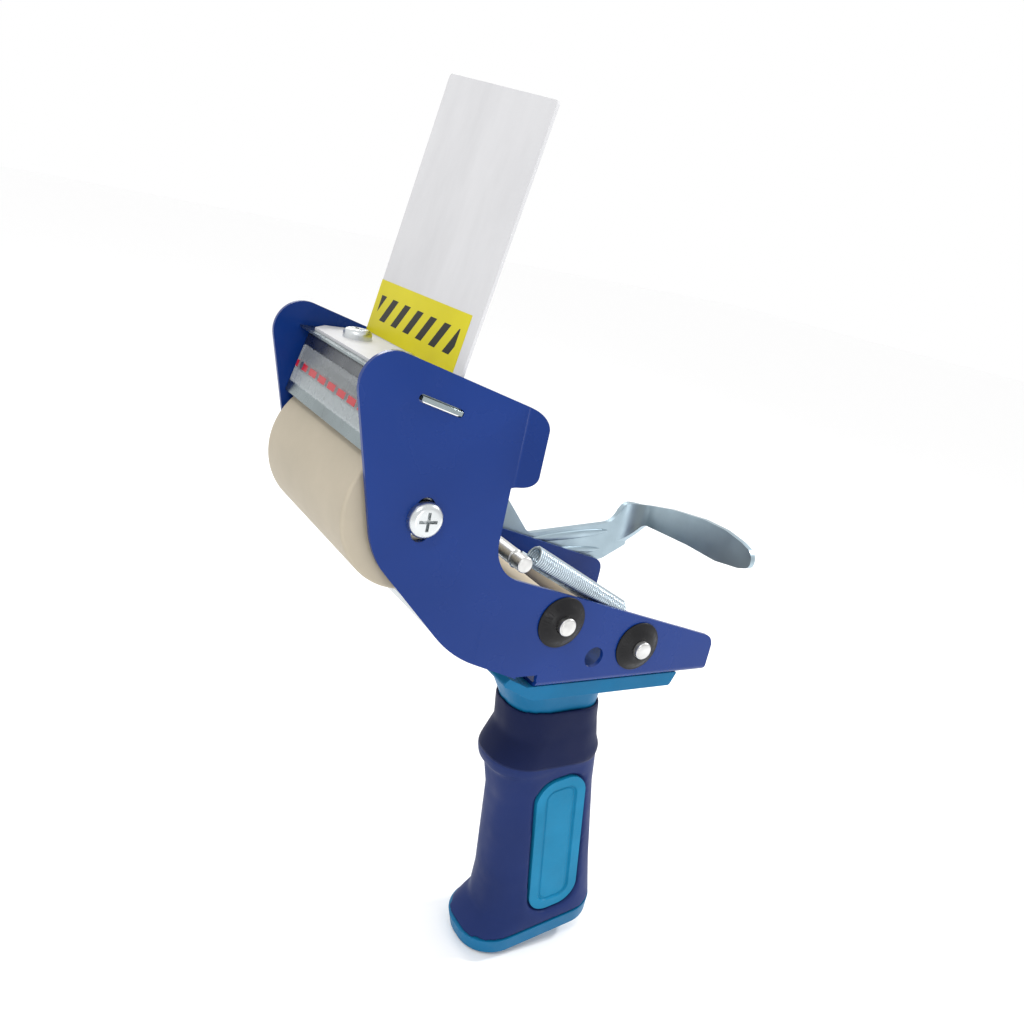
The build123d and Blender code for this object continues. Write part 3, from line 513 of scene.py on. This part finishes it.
def grip_panel(name, node, side, material):
    """Soft side panel with a sunk groove that follows its outline."""
    low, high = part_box(node)
    middle = (low + high) / 2
    skin = (low.y if side < 0 else high.y) / MM
    back = (high.y if side < 0 else low.y) / MM
    work = bmesh.new()
    bmesh.ops.create_grid(work, x_segments=1, y_segments=1, size=0.5)
    bmesh.ops.scale(work, vec=(*PANEL_SIZE, 1), verts=work.verts)
    bmesh.ops.bevel(
        work, geom=work.verts[:], offset=PANEL_CORNER, affect="VERTICES", segments=10, profile=0.5,
        material=-1,
    )
    outline = work.faces[:]
    pulled = bmesh.ops.extrude_face_region(work, geom=outline)["geom"]
    lifted = [g for g in pulled if isinstance(g, bmesh.types.BMVert)]
    bmesh.ops.translate(work, vec=(0, 0, abs(skin - back)), verts=lifted)
    top = [g for g in pulled if isinstance(g, bmesh.types.BMFace)]
    for width, lift in ((0.7, 0), (3.6, 0), (0.5, -GROOVE_DEPTH), (0.8, 0), (0.5, GROOVE_DEPTH)):
        bmesh.ops.inset_region(work, faces=top, thickness=width, depth=0, use_even_offset=True)
        if lift:
            bmesh.ops.translate(work, vec=(0, 0, lift), verts=list({v for f in top for v in f.verts}))
    rim = [v for v in lifted if v.is_valid]
    bmesh.ops.translate(work, vec=(0, 0, -PANEL_EDGE), verts=rim)
    upright = Matrix.Rotation(radians(90) if side < 0 else radians(-90), 4, "X")
    lean = Matrix.Rotation(-GRIP_LEAN, 4, "Y")
    bmesh.ops.transform(work, matrix=lean @ upright, verts=work.verts)
    bmesh.ops.translate(work, vec=(middle.x / MM, back, middle.z / MM), verts=work.verts)
    bmesh.ops.recalc_face_normals(work, faces=work.faces)
    bmesh.ops.scale(work, vec=(MM, MM, MM), verts=work.verts)
    piece = from_bmesh(work, name, material)
    shade(piece, 32)
    return settle(piece, "tape_gun", node)


def lever_rib(name, start, end, material):
    """Raised half-round rib pressed into the lever's arm."""
    run = end - start
    work = bmesh.new()
    made = bmesh.ops.create_uvsphere(work, u_segments=24, v_segments=12, radius=1.0)["verts"]
    bmesh.ops.scale(work, vec=(run.length / 2, RIB_PROUD, RIB_HEIGHT / 2), verts=made)
    tilt = Matrix.Rotation(-atan2(run.z, run.x), 4, "Y")
    bmesh.ops.transform(work, matrix=tilt, verts=made)
    bmesh.ops.translate(work, vec=(start + end) / 2, verts=made)
    bmesh.ops.scale(work, vec=(MM, MM, MM), verts=work.verts)
    piece = from_bmesh(work, name, material)
    shade(piece, 60)
    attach(piece, "lever")
    return piece


paint = blue_powder_coat()
turquoise = turquoise_plastic("turquoise_plastic", (0.004, 0.125, 0.27))
panel_turquoise = turquoise_plastic("panel_turquoise", (0.005, 0.175, 0.33))
navy = navy_grip()
plating = zinc()
bright_plating = zinc("bright_plating", (0.72, 0.75, 0.76))
lever_plating = zinc("lever_plating", (0.38, 0.48, 0.54), 0.32, 0.84)
# Zinc darkened for the blade: this dark tint is painted shade, standing in for the shadow the blade lies
# in under the top plate
blade_steel = zinc("blade_steel", (0.16, 0.17, 0.18))
rubber = beige_rubber()
sleeve_plastic = pale_plastic("sleeve_plastic", (0.5, 0.42, 0.3))
core_plastic = pale_plastic("core_plastic", (0.55, 0.52, 0.46))
steel = shaft_steel()
black = black_cap()
spring_wire = zinc("spring_wire", (0.52, 0.6, 0.66))

folded_channel(paint)
dressed("handle_core", turquoise, 1.0, 3)
moulded("grip_sleeve", navy)
grip_panel("side_panel_near", "grip_panel_near", -1, panel_turquoise)
grip_panel("side_panel_far", "grip_panel_far", 1, panel_turquoise)
dressed("brake_lever", lever_plating, 0.8, 3)
dressed("brake_bar", steel, 0.2, 2)
dressed("roller_rubber", rubber, 0.4, 3)
dressed("wiper_flap", flap_plastic(), 0.2, 2)
dressed("flap_label", yellow_sticker(), 0)
dressed("blade_guard", clear_guard(), 0.15, 2)
for node in ("blade_bracket", "top_plate", "guide_strip"):
    dressed(node, plating, 0.25, 2)
for node in (
    "axle_screws", "clamp_screws", "handle_screws", "axle_washers", "lever_washer", "screw_spacers",
):
    dressed(node, bright_plating, 0.15, 2)
# the blade takes the darkened zinc, a painted shade for the shadow it lies in
dressed("blade", blade_steel, 0)
for node in ("weld_nuts", "roller_axle", "guard_rivets"):
    dressed(node, plating, 0)
for node in ("pivot_shaft", "rear_cross_shaft"):
    dressed(node, steel, 0.15, 2)
for node in ("shaft_caps", "pivot_cap"):
    dressed(node, black, 0.2, 2)
for node in ("front_sleeve", "rear_sleeve"):
    dressed(node, sleeve_plastic, 0.3, 2)
for node in ("roller_core", "roller_bushes"):
    dressed(node, core_plastic, 0.2, 2)
coil_spring(spring_wire)
lever_rib("arm_rib_upper", Vector((18, ARM_FACE, 14.6)), Vector((62, ARM_FACE, 19.0)), lever_plating)
lever_rib("arm_rib_lower", Vector((16, ARM_FACE, 8.2)), Vector((60, ARM_FACE, 9.6)), lever_plating)


# ------------------------------------------------------------------ floor, light and camera
def floor():
    pale = Finish("floor_paper", (0.985, 0.985, 0.985), 0.8)
    pale.relief(pale.noise(300, 2), 0.0001, 0.05)
    work = bmesh.new()
    bmesh.ops.create_grid(work, x_segments=1, y_segments=1, size=6.0)
    bmesh.ops.translate(work, vec=(0, 0, cad_box[0].z - 0.0005), verts=work.verts)
    ground = from_bmesh(work, "floor", pale.material)


def lamp(name, place, size, power, target=(-0.02, 0, 0.0)):
    data = bpy.data.lights.new(name, "AREA")
    data.shape = "RECTANGLE"
    data.size, data.size_y = size
    data.energy = power
    light = bpy.data.objects.new(name, data)
    bpy.context.scene.collection.objects.link(light)
    light.location = place
    light.rotation_euler = (Vector(target) - Vector(place)).to_track_quat("-Z", "Y").to_euler()


def room():
    world = bpy.data.worlds.new("studio")
    world.use_nodes = True
    world.node_tree.nodes["Background"].inputs["Color"].default_value = (1.0, 1.0, 1.0, 1)
    world.node_tree.nodes["Background"].inputs["Strength"].default_value = 1.0
    bpy.context.scene.world = world


def camera():
    data = bpy.data.cameras.new("camera")
    data.sensor_width = 36.0
    data.lens = 32.98
    data.clip_start = 0.01
    eye = bpy.data.objects.new("camera", data)
    bpy.context.scene.collection.objects.link(eye)
    right = Vector((0.83753, -0.50618, 0.20573))
    up = Vector((-0.01360, 0.35709, 0.93397))
    look = Vector((0.54622, 0.78503, -0.29219))
    turn = Matrix((right, up, -look)).transposed().to_4x4()
    eye.matrix_world = Matrix.Translation((-0.2195, -0.2822, 0.1480)) @ turn
    bpy.context.scene.camera = eye


floor()
room()
lamp("key", (-0.6, -0.5, 0.9), (0.17, 0.17), 3.2)
lamp("edge_light", (0.85, -0.14, 0.65), (0.12, 0.12), 6.0)
lamp("low_strip", (0.02, -1.0, -0.1), (0.05, 0.5), 1.6)
lamp("back_light", (0.1, 0.9, 0.6), (0.4, 0.2), 2.0)
camera()
bpy.context.scene.view_settings.view_transform = "Standard"
